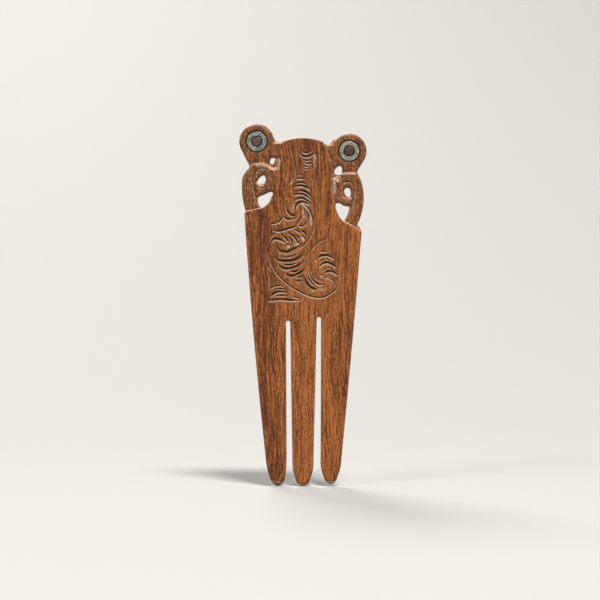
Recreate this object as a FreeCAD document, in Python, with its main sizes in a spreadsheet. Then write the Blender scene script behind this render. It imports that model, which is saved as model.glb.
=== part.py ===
import FreeCAD, Part
import os
import Sketcher

# A one-piece carved wooden comb with three tines, two openwork scrolls and two inlaid eyes.
# It stands on its tine tips: +Z runs up to the crown, +X to the right, the carved face looks to -Y,
# and Y = 0 is the middle of the plate's thickness. All lengths are in millimetres.

DRIVING_DIMENSIONS = [
    ("tine_length", 74, "tine tips up to the slot roots"),
    ("blade_length", 42, "slot roots up to the left shoulder, less the shoulder's rise"),
    ("head_height", 37.7, "shoulder line up to the top of the crown"),
    ("shoulder_width", 51.7, "across both shoulders"),
    ("shoulder_fall", 8, "how much lower the right shoulder is than the left"),
    ("shoulder_rise", 4.6, "left shoulder above the shoulder line"),
    ("plate_thickness", 5, "front face to back face"),
    ("tip_thickness", 2.6, "tine tips, front to back"),
    ("middle_root_width", 11.7, "middle tine at the slot roots"),
    ("middle_tip_width", 9.4, "middle tine where its tip starts to round"),
    ("outer_tip_width", 9.2, "outer tines where their tips start to round"),
    ("slot_width", 1.9, "the two slots at their roots"),
    ("left_slot_mouth", 2.5, "left slot where the tips start to round"),
    ("right_slot_mouth", 3.1, "right slot where the tips start to round"),
    ("slot_shift", 0.25, "how far both slot roots stand right of centre"),
    ("slot_step", 1.6, "how much higher the right slot ends"),
    ("tip_length", 12, "length of the rounded tips"),
    ("tip_cheek", 3.2, "level at which a tip turns in"),
    ("flank_bow", 0.6, "how far the long sides bow outwards"),
    ("side_drop", 0.5, "face of the scrolls below the plate's face"),
    ("lobe_drop", 1, "face of the eye lobes below the plate's face"),
    ("left_eye_out", 20.4, "left eye out from the centre line"),
    ("right_eye_out", 20.4, "right eye out from the centre line"),
    ("left_eye_drop", 1.5, "left eye below the crown"),
    ("right_eye_drop", 5.7, "right eye below the crown"),
    ("pupil_radius", 2.1, "wooden peg in the middle of each eye"),
    ("inner_seam", 0.4, "resin between peg and ring"),
    ("ring_band", 2, "width of the shell ring's band"),
    ("outer_seam", 0.5, "resin between ring and wood"),
    ("eye_rim", 2.7, "wood left round each eye recess"),
    ("ring_thickness", 1.2, "shell ring, front to back"),
    ("bed_thickness", 0.4, "resin under the ring"),
    ("ring_sink", 0.2, "ring's face below the lobe's face"),
    ("seam_sink", 0.35, "resin's face below the lobe's face"),
    ("peg_depth", 1, "peg hole below the floor of the recess"),
    ("peg_clearance", 0.05, "all round the peg in its hole"),
    ("pupil_proud", 0.1, "pupil's crown above the ring"),
    ("pupil_round", 0.6, "rounding of the pupil's edge"),
    ("carving_depth", 0.5, "depth of the gouge cuts"),
]

# The head's openwork and the face carving are a pattern drawn for this width and height.
# They stretch with the blade, as a carver enlarges a drawing.
PATTERN_WIDTH = 51.7
PATTERN_HEIGHT = 37.7
PATTERN_BLADE = 42


class Size:
    """A length that carries its value and the expression that keeps it tied to the sheet."""

    def __init__(self, value, text):
        self.value = value
        self.text = text

    @staticmethod
    def of(other):
        if isinstance(other, Size):
            return other
        return Size(float(other), "%.6g mm" % other)

    def __add__(self, other):
        other = Size.of(other)
        return Size(self.value + other.value, "(%s + %s)" % (self.text, other.text))

    def __sub__(self, other):
        other = Size.of(other)
        return Size(self.value - other.value, "(%s - %s)" % (self.text, other.text))

    def __mul__(self, factor):
        return Size(self.value * factor, "(%s * %.6g)" % (self.text, factor))

    def __truediv__(self, divisor):
        return Size(self.value / divisor, "(%s / %.6g)" % (self.text, divisor))

    def __neg__(self):
        return self * -1

    __radd__ = __add__
    __rmul__ = __mul__


def make_sheet(document):
    """Write the driving dimensions as aliased plain numbers."""
    sheet = document.addObject("Spreadsheet::Sheet", "dimensions")
    for row, (alias, value, note) in enumerate(DRIVING_DIMENSIONS, start=1):
        sheet.set("A%d" % row, note)
        sheet.set("B%d" % row, str(value))
        sheet.setAlias("B%d" % row, alias)
    document.recompute()
    return sheet


def size(alias):
    """Read one driving dimension, with the expression that names it."""
    return Size(float(sheet.get(alias)), "dimensions.%s * 1 mm" % alias)


class Outline:
    """A closed outline of lines and three-point arcs, given as tied points."""

    def __init__(self, *start):
        self.start = start
        self.steps = []

    def line(self, x, z):
        self.steps.append((None, (x, z)))
        return self

    def arc(self, through_x, through_z, x, z):
        self.steps.append(((through_x, through_z), (x, z)))
        return self


def vector(point):
    return FreeCAD.Vector(Size.of(point[0]).value, Size.of(point[1]).value, 0)


def pin_point(constraints, expressions, geometry, end, point):
    """Fix a point of the sketch at its two tied distances from the origin."""
    for kind, distance in (("DistanceX", point[0]), ("DistanceY", point[1])):
        distance = Size.of(distance)
        expressions.append((len(constraints), distance.text))
        constraints.append(Sketcher.Constraint(kind, geometry, end, distance.value))


def draw_outlines(sketch, outlines):
    """Draw closed outlines, join their corners and pin every point."""
    first = sketch.GeometryCount
    geometry = []
    constraints = []
    expressions = []
    for outline in outlines:
        corners = []
        here = outline.start
        closing = outline.steps[-1][1]
        steps = outline.steps
        if (vector(closing) - vector(outline.start)).Length > 1e-6:
            steps = steps + [(None, outline.start)]
        for through, there in steps:
            index = first + len(geometry)
            start_end, end_end = 1, 2
            if through is None:
                geometry.append(Part.LineSegment(vector(here), vector(there)))
            else:
                a, b, c = vector(here), vector(through), vector(there)
                if (b - a).cross(c - b).z < 0:
                    a, c = c, a
                    start_end, end_end = 2, 1
                geometry.append(Part.Arc(a, b, c))
            corners.append((index, start_end, end_end, here))
            if through is not None:
                geometry.append(Part.Point(vector(through)))
                constraints.append(Sketcher.Constraint("PointOnObject", index + 1, 1, index))
                pin_point(constraints, expressions, index + 1, 1, through)
            here = there
        for number, (index, start_end, end_end, corner) in enumerate(corners):
            next_index, next_start = corners[(number + 1) % len(corners)][:2]
            constraints.append(Sketcher.Constraint("Coincident", index, end_end, next_index, next_start))
            pin_point(constraints, expressions, index, start_end, corner)
    sketch.addGeometry(geometry, False)
    for number, shape in enumerate(geometry):
        if isinstance(shape, Part.Point):
            sketch.setConstruction(first + number, True)
    offset = len(sketch.Constraints)
    sketch.addConstraint(constraints)
    for number, text in expressions:
        sketch.setExpression("Constraints[%d]" % (offset + number), text)


def draw_circle(sketch, centre, radius):
    """Draw one circle with its centre and radius tied."""
    index = sketch.addGeometry(Part.Circle(vector(centre), FreeCAD.Vector(0, 0, 1), radius.value))
    constraints = []
    expressions = []
    pin_point(constraints, expressions, index, 3, centre)
    expressions.append((len(constraints), radius.text))
    constraints.append(Sketcher.Constraint("Radius", index, radius.value))
    offset = len(sketch.Constraints)
    sketch.addConstraint(constraints)
    for number, text in expressions:
        sketch.setExpression("Constraints[%d]" % (offset + number), text)


def new_body(name):
    body = document.addObject("PartDesign::Body", name)
    body.Label = name
    return body


def new_sketch(body, name, level, plane="XZ_Plane"):
    """Add a sketch on one of the body's own planes, raised by a tied level."""
    sketch = body.newObject("Sketcher::SketchObject", name)
    origin = [feature for feature in body.Origin.OriginFeatures if feature.Role == plane][0]
    sketch.AttachmentSupport = [(origin, "")]
    sketch.MapMode = "FlatFace"
    sketch.setExpression("AttachmentOffset.Base.z", Size.of(level).text)
    return sketch


def pad(body, sketch, name, length):
    feature = body.newObject("PartDesign::Pad", name)
    feature.Profile = sketch
    feature.setExpression("Length", length.text)
    document.recompute()
    return feature


def pocket(body, sketch, name, depth):
    """Cut from the sketch towards the back, and make sure that wood was removed."""
    before = body.Shape.Volume
    feature = body.newObject("PartDesign::Pocket", name)
    feature.Profile = sketch
    feature.setExpression("Length", depth.text)
    document.recompute()
    if body.Shape.Volume > before - 1e-3:
        raise RuntimeError("%s cuts nothing" % name)
    return feature


document = FreeCAD.newDocument("hair_comb")
sheet = make_sheet(document)

back_level = -size("plate_thickness") / 2
face_level = size("plate_thickness") / 2
lobe_level = face_level - size("lobe_drop")
shoulder_line = size("tine_length") + size("blade_length")
crown_level = shoulder_line + size("head_height")
half_shoulder = size("shoulder_width") / 2
left_shoulder = shoulder_line + size("shoulder_rise")
right_shoulder = left_shoulder - size("shoulder_fall")
left_slot_root = size("tine_length") - size("slot_step") / 2
right_slot_root = size("tine_length") + size("slot_step") / 2
ring_inner = size("pupil_radius") + size("inner_seam")
ring_outer = ring_inner + size("ring_band")
recess_radius = ring_outer + size("outer_seam")
lobe_radius = recess_radius + size("eye_rim")
ring_back = size("ring_sink") + size("ring_thickness")
recess_depth = ring_back + size("bed_thickness")
left_eye = (-size("left_eye_out"), crown_level - size("left_eye_drop"))
right_eye = (size("right_eye_out"), crown_level - size("right_eye_drop"))


def head(x, z):
    """A point of the head's pattern: across from the centre line, up from the shoulder line."""
    return (size("shoulder_width") * (x / PATTERN_WIDTH),
            shoulder_line + size("head_height") * (z / PATTERN_HEIGHT))


def face(x, z):
    """A point of the face carving: across from the centre line, up from the slot roots."""
    return (size("shoulder_width") * (x / PATTERN_WIDTH),
            size("tine_length") + size("blade_length") * (z / PATTERN_BLADE))


def around(eye, x, z):
    """A point given in lobe radii from an eye's centre."""
    return (eye[0] + lobe_radius * x, eye[1] + lobe_radius * z)


def between(start, end, share):
    return start + (end - start) * share


def tip_side(outline, side, nose, nose_level, cheek_share, upper_share, downwards):
    """Round one side of a tine tip with two arcs, from the side to the nose or back up."""
    upper_level = size("tip_length") * 0.6
    low_level = nose_level + size("tip_cheek") * 0.3
    upper = (between(nose, side, upper_share), upper_level)
    cheek = (between(nose, side, cheek_share), nose_level + size("tip_cheek"))
    lower = (between(nose, side, cheek_share * 0.66), low_level)
    if downwards:
        outline.arc(*upper, *cheek)
        outline.arc(*lower, nose, nose_level)
    else:
        outline.arc(*lower, *cheek)
        outline.arc(*upper, side, size("tip_length"))


def plate_outline():
    """The blade with its three tines, the shoulders and the raised plate up to the crown."""
    start = size("tip_length")
    half_middle = size("middle_tip_width") / 2
    left_inner = -half_middle - size("left_slot_mouth")
    left_outer = left_inner - size("outer_tip_width")
    right_inner = half_middle + size("right_slot_mouth")
    right_outer = right_inner + size("outer_tip_width")
    half_root = size("middle_root_width") / 2
    root_left = size("slot_shift") - half_root
    root_right = size("slot_shift") + half_root
    left_slot = (root_left - size("slot_width"), root_left)
    right_slot = (root_right, root_right + size("slot_width"))
    ground = Size.of(0)
    flank_level = between(start, left_shoulder, 0.47)
    left_flank = between(left_outer, -half_shoulder, 0.47) - size("flank_bow")
    right_flank = between(right_outer, half_shoulder, 0.47) + size("flank_bow")

    outline = Outline(-half_shoulder, left_shoulder)
    outline.arc(left_flank, flank_level, left_outer, start)
    tip_side(outline, left_outer, left_outer * 0.66, ground + 0.3, 0.67, 0.86, True)
    tip_side(outline, left_inner, left_outer * 0.66, ground + 0.3, 0.8, 0.94, False)
    slot_end = left_slot_root - size("slot_width") / 2
    outline.line(left_slot[0], slot_end)
    outline.arc((left_slot[0] + left_slot[1]) / 2, left_slot_root, left_slot[1], slot_end)
    outline.line(-half_middle, start)
    tip_side(outline, -half_middle, ground, ground, 0.69, 0.93, True)
    tip_side(outline, half_middle, ground, ground, 0.69, 0.93, False)
    slot_end = right_slot_root - size("slot_width") / 2
    outline.line(right_slot[0], slot_end)
    outline.arc((right_slot[0] + right_slot[1]) / 2, right_slot_root, right_slot[1], slot_end)
    outline.line(right_inner, start)
    tip_side(outline, right_inner, right_outer * 0.72, ground + 0.9, 0.68, 0.92, True)
    tip_side(outline, right_outer, right_outer * 0.72, ground + 0.9, 0.62, 0.86, False)
    outline.arc(right_flank, flank_level, half_shoulder, right_shoulder)
    outline.line(*head(17.6, 1))
    outline.arc(*head(13.6, 8), *head(12.2, 15))
    outline.arc(*head(12.6, 23.5), *head(10.4, 31.4))
    outline.line(*head(9.2, 35.9))
    outline.arc(*head(0, 37.7), *head(-8.8, 36.2))
    outline.line(*head(-9.6, 32))
    outline.line(*head(-10.4, 26))
    outline.line(*head(-11.4, 23))
    outline.arc(*head(-11.8, 17.5), *head(-13, 13))
    outline.arc(*head(-14.8, 9), *head(-19.2, 6.6))
    return outline


def left_scroll_outline():
    outline = Outline(*head(-24, 24.2))
    outline.arc(*head(-20, 26), *head(-15.6, 25.2))
    outline.line(*head(-13.6, 23.8))
    outline.line(*head(-10, 23.9))
    outline.line(*head(-10, 8))
    outline.line(*head(-14, 3))
    outline.line(*head(-25.3, 3))
    outline.line(*head(-25.4, 5.9))
    outline.arc(*head(-26.7, 11.8), *head(-26.9, 17.5))
    outline.arc(*head(-26, 21.8), *head(-24, 24.2))
    return outline


def right_scroll_outline():
    outline = Outline(*head(24.2, 22))
    outline.line(*head(16.6, 21.8))
    outline.line(*head(15.6, 20.6))
    outline.line(*head(11, 20.6))
    outline.line(*head(11, 6))
    outline.line(*head(16, -4.5))
    outline.line(*head(25.5, -4.5))
    outline.arc(*head(25.2, -2), *head(23.9, -0.7))
    outline.arc(*head(26.4, 6.6), *head(26.8, 13))
    outline.arc(*head(25.8, 18.4), *head(24.2, 22))
    return outline


def left_lobe_outline():
    """The web that joins the left eye lobe to the crown and to the scroll below."""
    outline = Outline(*head(-8, 35.6))
    outline.line(*head(-12.2, 36.4))
    outline.line(*around(left_eye, 0.93, 0.36))
    outline.line(*left_eye)
    outline.line(*around(left_eye, -0.93, -0.36))
    outline.line(*head(-24.7, 27.6))
    outline.arc(*head(-23.8, 25.6), *head(-24, 24))
    outline.line(*head(-9, 22))
    return outline


def right_lobe_outline():
    """The web that joins the right eye lobe to the crown and to the scroll below."""
    outline = Outline(*head(8, 35.4))
    outline.line(*head(10.4, 35))
    outline.line(*head(11.6, 35))
    outline.line(*around(right_eye, -0.86, 0.68))
    outline.line(*right_eye)
    outline.line(*around(right_eye, 0.9, -0.42))
    outline.line(*head(24.8, 24.5))
    outline.arc(*head(24.1, 23), *head(24.2, 21.8))
    outline.line(*head(11, 19))
    return outline


def openwork_outlines():
    """The six holes pierced through the head."""
    upper_left = Outline(*head(-14.5, 27.6))
    upper_left.arc(*head(-13.4, 29.1), *head(-12, 28.3))
    upper_left.line(*head(-13.1, 26.4))
    upper_left.arc(*head(-13.9, 26.3), *head(-14.5, 27.6))
    left_curl = Outline(*head(-20.2, 18.1))
    left_curl.arc(*head(-19.2, 20.3), *head(-17.2, 21.4))
    left_curl.arc(*head(-16.4, 19.6), *head(-17, 17.9))
    left_curl.arc(*head(-18.5, 17.4), *head(-20.2, 18.1))
    lower_left = Outline(*head(-19.8, 11.7))
    lower_left.line(*head(-14.4, 14.1))
    lower_left.arc(*head(-13.5, 13.8), *head(-13.7, 12.3))
    lower_left.arc(*head(-15.4, 8.9), *head(-18.3, 6.9))
    lower_left.arc(*head(-19.6, 8.7), *head(-19.8, 11.7))
    upper_right = Outline(*head(13.9, 22.4))
    upper_right.arc(*head(14.5, 24.5), *head(16.7, 25.5))
    upper_right.arc(*head(17.3, 24), *head(16.6, 21.9))
    upper_right.arc(*head(15, 21.6), *head(13.9, 22.4))
    right_curl = Outline(*head(18.2, 14.1))
    right_curl.arc(*head(19.4, 15.8), *head(20.8, 15.3))
    right_curl.arc(*head(21.1, 13), *head(20.5, 11.5))
    right_curl.arc(*head(19.1, 12.3), *head(18.2, 14.1))
    lower_right = Outline(*head(14.4, 8.8))
    lower_right.arc(*head(15.7, 9.1), *head(17.6, 8))
    lower_right.line(*head(20.6, 7.5))
    lower_right.arc(*head(19.7, 4), *head(17.8, 1))
    lower_right.arc(*head(15.5, 4), *head(14.4, 8.8))
    return [upper_left, left_curl, lower_left, upper_right, right_curl, lower_right]


def gouge_cut(start, middle, end, width):
    """A crescent left by one sweep of a gouge: two arcs that meet in points."""
    chord = FreeCAD.Vector(end[0] - start[0], end[1] - start[1], 0)
    normal = FreeCAD.Vector(-chord.y, chord.x, 0).normalize() * (width / 2)
    outer = face(middle[0] + normal.x, middle[1] + normal.y)
    inner = face(middle[0] - normal.x, middle[1] - normal.y)
    cut = Outline(*face(*start))
    cut.arc(*outer, *face(*end))
    cut.arc(*inner, *face(*start))
    return cut


# Each gouge cut is its two ends, the middle of its sweep and its width.
UPPER_SPRAY = [
    ((-1, 74), (1.8, 73), (4.8, 73.6), 0.8),
    ((-1.2, 72.9), (1.6, 71.6), (5, 72.6), 0.8),
    ((-0.1, 70.6), (1.6, 69.8), (3.8, 70.3), 0.7),
    ((0, 69.1), (1.8, 68.5), (4, 68.8), 0.6),
    ((0.3, 67.5), (1.4, 66.9), (2.6, 67.2), 0.5),
    ((5.2, 72), (5.8, 70), (5.2, 67), 0.7),
    ((-2.4, 62.8), (-1.2, 63.5), (0, 63), 0.6),
    ((-3, 61.5), (-1.1, 62.2), (0.8, 61.7), 0.7),
    ((-2.6, 59.9), (-0.7, 60.6), (1.2, 59.6), 0.7),
    ((-3.8, 57.8), (-0.6, 58.9), (2.8, 57), 0.8),
    ((-2.4, 56.2), (0.6, 56.6), (3.2, 54.8), 0.8),
    ((-4, 54.5), (-0.4, 55.1), (3.2, 52.6), 0.9),
    ((-2.8, 52.8), (-0.4, 53), (2.8, 50.6), 0.6),
]
MIDDLE_LEAF = [
    ((-3.4, 47.8), (-2.6, 51.1), (1.2, 51.2), 0.9),
    ((-0.4, 49.8), (2.2, 47.2), (2.6, 43.4), 1.2),
    ((-7, 50), (-6.3, 46.5), (-2.4, 46), 0.9),
    ((-8.6, 45.6), (-6, 43.9), (-2.8, 45), 0.7),
    ((-13.2, 42), (-10.6, 42.8), (-8.9, 45.3), 0.8),
    ((-13, 39.4), (-9.6, 38.8), (-3.8, 40.6), 0.9),
    ((-2.2, 40.8), (0.6, 40.8), (2.3, 42.8), 0.6),
    ((-4, 39.3), (-2.4, 38.4), (-0.9, 37.2), 0.5),
    ((-0.4, 38.9), (0.7, 37.9), (1.2, 36.4), 0.8),
    ((-6, 37.4), (-4.3, 35.8), (-3.4, 32.8), 0.8),
    ((-9, 36.4), (-7.8, 35.3), (-6.9, 33.9), 0.7),
    ((-1.4, 36.9), (-0.4, 35.7), (0.1, 34.2), 0.7),
    ((-13.5, 33.2), (-11.3, 35.3), (-8.2, 33.4), 0.9),
]
LOWER_SPRAY = [
    ((-11.8, 31.6), (-7.4, 29.4), (-1.8, 32.2), 0.8),
    ((-11.6, 29.4), (-6.2, 28.2), (0.2, 31.6), 0.7),
    ((-12, 27.3), (-6, 25.4), (0.4, 28.6), 0.9),
    ((-9, 24.4), (-5.4, 23.8), (-1.8, 25.1), 0.8),
    ((-11, 24.1), (-6, 22.1), (-0.4, 24.5), 0.8),
    ((-7.2, 21.3), (-4.6, 20.9), (-2.2, 22.2), 0.8),
    ((-7.6, 20.4), (-4, 19), (0.2, 21.6), 0.8),
    ((-3.2, 16.8), (-1.7, 16.6), (-0.2, 17.4), 0.6),
    ((0.6, 18), (2.2, 15), (6.2, 12.6), 0.9),
    ((2.2, 21), (4.2, 17.2), (8.8, 14.6), 0.8),
    ((6.8, 26.6), (10, 28.1), (13.4, 25.9), 0.9),
    ((7.4, 23.4), (11, 24.9), (14.2, 22.6), 0.9),
    ((10, 20.1), (12.2, 20.7), (15.1, 18.8), 0.8),
    ((9, 17.8), (12.4, 17), (13.6, 13.6), 0.7),
    ((-15.4, 27.4), (-7.6, 15.2), (7, 8.9), 0.5),
    ((7.2, 8.9), (13.2, 10.4), (14.6, 17.6), 0.5),
    ((-14.4, 12.6), (-11.8, 14.5), (-8.8, 14.5), 0.6),
    ((-14.2, 9.4), (-11, 11.8), (-7.2, 11.7), 0.8),
    ((-15.2, 7.4), (-8, 8.3), (-1.4, 7.9), 0.8),
]


def make_comb_body():
    """Saw the plank, set the side levels back, pierce it, sink the eyes, thin the tines and carve."""
    body = new_body("comb_body")
    sketch = new_sketch(body, "plate_sketch", back_level)
    draw_outlines(sketch, [plate_outline()])
    pad(body, sketch, "plate", size("plate_thickness"))

    scroll_thickness = size("plate_thickness") - size("side_drop")
    lobe_thickness = size("plate_thickness") - size("lobe_drop")
    raised_parts = [
        ("left_scroll", left_scroll_outline(), scroll_thickness),
        ("right_scroll", right_scroll_outline(), scroll_thickness),
        ("left_web", left_lobe_outline(), lobe_thickness),
        ("right_web", right_lobe_outline(), lobe_thickness),
    ]
    for name, outline, thickness in raised_parts:
        sketch = new_sketch(body, name + "_sketch", back_level)
        draw_outlines(sketch, [outline])
        pad(body, sketch, name, thickness)
    for name, eye in (("left_lobe", left_eye), ("right_lobe", right_eye)):
        sketch = new_sketch(body, name + "_sketch", back_level)
        draw_circle(sketch, eye, lobe_radius)
        pad(body, sketch, name, lobe_thickness)

    sketch = new_sketch(body, "openwork_sketch", face_level)
    draw_outlines(sketch, openwork_outlines())
    pocket(body, sketch, "openwork", size("plate_thickness") + size("lobe_drop"))

    sketch = new_sketch(body, "taper_sketch", -half_shoulder * 2, "YZ_Plane")
    draw_outlines(sketch, [taper_outline()])
    taper = body.newObject("PartDesign::Pocket", "tine_taper")
    taper.Profile = sketch
    taper.setExpression("Length", (size("shoulder_width") * 2).text)
    taper.Reversed = True
    document.recompute()

    for name, eye in (("left", left_eye), ("right", right_eye)):
        sketch = new_sketch(body, name + "_recess_sketch", face_level)
        draw_circle(sketch, eye, recess_radius)
        pocket(body, sketch, name + "_recess", size("lobe_drop") + recess_depth)
        sketch = new_sketch(body, name + "_peg_hole_sketch", face_level)
        draw_circle(sketch, eye, size("pupil_radius") + size("peg_clearance"))
        pocket(body, sketch, name + "_peg_hole", size("lobe_drop") + recess_depth + size("peg_depth"))

    carving = [("upper_spray", UPPER_SPRAY), ("middle_leaf", MIDDLE_LEAF), ("lower_spray", LOWER_SPRAY)]
    for name, cuts in carving:
        sketch = new_sketch(body, name + "_sketch", face_level)
        draw_outlines(sketch, [gouge_cut(*cut) for cut in cuts])
        pocket(body, sketch, name, size("carving_depth"))
    return body


def taper_outline():
    """The wedge planed off the front of the tines, seen from the side."""
    front = -size("plate_thickness") / 2
    beyond = front - size("plate_thickness")
    tip_front = size("plate_thickness") / 2 - size("tip_thickness")
    outline = Outline(front, size("tine_length"))
    outline.line(tip_front, Size.of(0))
    outline.line(tip_front, -size("tip_cheek"))
    outline.line(beyond, -size("tip_cheek"))
    outline.line(beyond, size("tine_length"))
    return outline


def ring_pad(body, name, eye, level, outer, inner, length):
    """Pad a disc, or a ring where an inner radius is given, in front of a level."""
    sketch = new_sketch(body, name + "_sketch", level)
    draw_circle(sketch, eye, outer)
    if inner is not None:
        draw_circle(sketch, eye, inner)
    return pad(body, sketch, name, length)


def make_eye(side, eye):
    """The three inlaid pieces of one eye: resin bedding, shell ring and wooden pupil."""
    floor_level = lobe_level - recess_depth
    seam_height = recess_depth - size("seam_sink")
    bedding = new_body(side + "_eye_bedding")
    prefix = side + "_bed_"
    pupil_edge = size("pupil_radius")
    ring_pad(bedding, prefix + "floor", eye, floor_level, recess_radius, pupil_edge, size("bed_thickness"))
    ring_pad(bedding, prefix + "outer_seam", eye, floor_level, recess_radius, ring_outer, seam_height)
    ring_pad(bedding, prefix + "inner_seam", eye, floor_level, ring_inner, pupil_edge, seam_height)

    ring = new_body(side + "_eye_ring")
    ring_pad(ring, side + "_ring_band", eye, floor_level + size("bed_thickness"), ring_outer, ring_inner,
             size("ring_thickness"))

    pupil = new_body(side + "_eye_pupil")
    peg_length = size("peg_depth") + recess_depth - size("ring_sink") + size("pupil_proud")
    peg = ring_pad(pupil, side + "_peg", eye, floor_level - size("peg_depth"), size("pupil_radius"), None,
                   peg_length)
    edge = [number for number, edge in enumerate(peg.Shape.Edges, start=1)
            if edge.Closed and edge.BoundBox.YMax < peg.Shape.BoundBox.YMin + 1e-3]
    rounding = pupil.newObject("PartDesign::Fillet", side + "_pupil_round")
    rounding.Base = (peg, ["Edge%d" % edge[0]])
    rounding.setExpression("Radius", size("pupil_round").text)
    document.recompute()
    return [bedding, ring, pupil]


nodes = [make_comb_body()]
for side, eye in (("left", left_eye), ("right", right_eye)):
    nodes += make_eye(side, eye)
document.recompute()

for item in document.Objects:
    if "Invalid" in item.State or "Error" in item.State:
        raise RuntimeError("%s failed: %s" % (item.Name, item.State))
for node in nodes:
    if node.Shape.isNull() or not node.Shape.isValid() or len(node.Shape.Solids) != 1:
        raise RuntimeError("%s is not one valid solid" % node.Label)

os.makedirs("parts", exist_ok=True)
for node in nodes:
    node.Shape.exportStep("parts/%s.step" % node.Label)
    box = node.Shape.BoundBox
    print("%s: %.1f x %.1f x %.1f mm, %.1f mm3"
          % (node.Label, box.XLength, box.YLength, box.ZLength, node.Shape.Volume))
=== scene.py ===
import math
import bmesh
import bpy
import numpy as np
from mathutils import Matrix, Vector
from mathutils.kdtree import KDTree


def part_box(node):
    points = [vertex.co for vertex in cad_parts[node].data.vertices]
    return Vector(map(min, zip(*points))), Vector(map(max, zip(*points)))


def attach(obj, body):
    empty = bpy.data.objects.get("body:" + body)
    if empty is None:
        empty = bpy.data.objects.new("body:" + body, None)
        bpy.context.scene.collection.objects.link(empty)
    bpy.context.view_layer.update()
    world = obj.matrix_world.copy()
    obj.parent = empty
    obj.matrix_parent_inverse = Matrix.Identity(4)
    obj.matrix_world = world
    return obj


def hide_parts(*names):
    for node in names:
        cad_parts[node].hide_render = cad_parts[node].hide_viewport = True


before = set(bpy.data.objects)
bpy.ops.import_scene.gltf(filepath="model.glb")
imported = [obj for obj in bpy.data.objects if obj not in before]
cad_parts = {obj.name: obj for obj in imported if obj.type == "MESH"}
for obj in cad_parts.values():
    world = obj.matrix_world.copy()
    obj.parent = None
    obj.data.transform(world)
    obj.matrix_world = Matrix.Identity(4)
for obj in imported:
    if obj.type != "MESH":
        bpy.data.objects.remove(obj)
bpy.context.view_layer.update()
combLow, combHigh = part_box("comb_body")
mm = 0.001
print("frame loaded")


# shader helpers: sums of wires read as plain arithmetic

class Wire:
    def __init__(self, finish, socket):
        self.finish = finish
        self.socket = socket

    def math(self, operation, *others):
        inputs = {0: self}
        inputs.update({number + 1: other for number, other in enumerate(others)})
        return self.finish.add("ShaderNodeMath", {"operation": operation}, inputs)

    def __add__(self, other):
        return self.math("ADD", other)

    def __sub__(self, other):
        return self.math("SUBTRACT", other)

    def __rsub__(self, other):
        return self.finish.add("ShaderNodeMath", {"operation": "SUBTRACT"}, {0: other, 1: self})

    def __mul__(self, other):
        return self.math("MULTIPLY", other)

    __radd__ = __add__
    __rmul__ = __mul__


class Finish:
    # a material whose nodes are added one by one and fed into one Principled surface
    def __init__(self, name, fixed):
        self.material = bpy.data.materials.new(name)
        self.material.use_nodes = True
        self.tree = self.material.node_tree
        self.tree.nodes.clear()
        self.surface = self.tree.nodes.new("ShaderNodeBsdfPrincipled")
        for socket, value in fixed.items():
            self.surface.inputs[socket].default_value = value
        output = self.tree.nodes.new("ShaderNodeOutputMaterial")
        self.tree.links.new(self.surface.outputs[0], output.inputs[0])

    def add(self, kind, settings=None, inputs=None, output=0):
        node = self.tree.nodes.new(kind)
        for name, value in (settings or {}).items():
            if name == "stops":
                self.setStops(node.color_ramp, value)
            else:
                setattr(node, name, value)
        for socket, value in (inputs or {}).items():
            if isinstance(value, Wire):
                self.tree.links.new(value.socket, node.inputs[socket])
            else:
                node.inputs[socket].default_value = value
        return Wire(self, node.outputs[output])

    def setStops(self, ramp, stops):
        while len(ramp.elements) < len(stops):
            ramp.elements.new(1)
        for element, (place, colour) in zip(ramp.elements, stops):
            element.position = place
            element.color = (*colour, 1)

    def ramp(self, value, *stops):
        return self.add("ShaderNodeValToRGB", {"stops": stops}, {0: value})

    def mix(self, share, first, second):
        colours = [(*c, 1) if isinstance(c, tuple) else c for c in (first, second)]
        return self.add("ShaderNodeMix", {"data_type": "RGBA", "clamp_factor": True},
                        {0: share, 6: colours[0], 7: colours[1]}, 2)

    def step(self, value, low, high):
        return self.add("ShaderNodeMapRange", {"interpolation_type": "SMOOTHSTEP"},
                        {0: value, 1: low, 2: high})

    def noise(self, place, detail=2, roughness=0.5, distortion=0):
        return self.add("ShaderNodeTexNoise", {}, {"Vector": place, "Scale": 1, "Detail": detail,
                                                  "Roughness": roughness, "Distortion": distortion})

    def stretched(self, place, scale):
        return self.add("ShaderNodeVectorMath", {"operation": "MULTIPLY"}, {0: place, 1: scale})

    def millimetres(self):
        place = self.add("ShaderNodeTexCoord", output="Object")
        return self.stretched(place, (1 / mm, 1 / mm, 1 / mm))

    def attribute(self, name):
        return self.add("ShaderNodeAttribute", {"attribute_name": name}, output=2)

    def feed(self, socket, value):
        self.tree.links.new(value.socket, self.surface.inputs[socket])

    def bump(self, height, strength, distance):
        self.feed("Normal", self.add("ShaderNodeBump", {},
                                     {"Height": height, "Strength": strength, "Distance": distance}))


# mesh helpers

def finishPiece(name, mesh, material, slot, *nodes):
    piece = bpy.data.objects.new(name, mesh)
    bpy.context.collection.objects.link(piece)
    mesh.materials.clear()
    mesh.materials.append(material)
    mesh.polygons.foreach_set("use_smooth", [True] * len(mesh.polygons))
    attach(piece, "root")
    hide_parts(*nodes)


def appliedModifier(mesh, kind, settings):
    # run one modifier on a mesh and give back the mesh it makes
    carrier = bpy.data.objects.new("carrier", mesh)
    bpy.context.collection.objects.link(carrier)
    modifier = carrier.modifiers.new("step", kind)
    for name, value in settings.items():
        setattr(modifier, name, value)
    depsgraph = bpy.context.evaluated_depsgraph_get()
    made = bpy.data.meshes.new_from_object(carrier.evaluated_get(depsgraph))
    bpy.data.objects.remove(carrier)
    return made


def readPoints(mesh):
    flat = np.empty(len(mesh.vertices) * 3, dtype=np.float32)
    mesh.vertices.foreach_get("co", flat)
    return flat.reshape(-1, 3).astype(float) / mm


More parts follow.
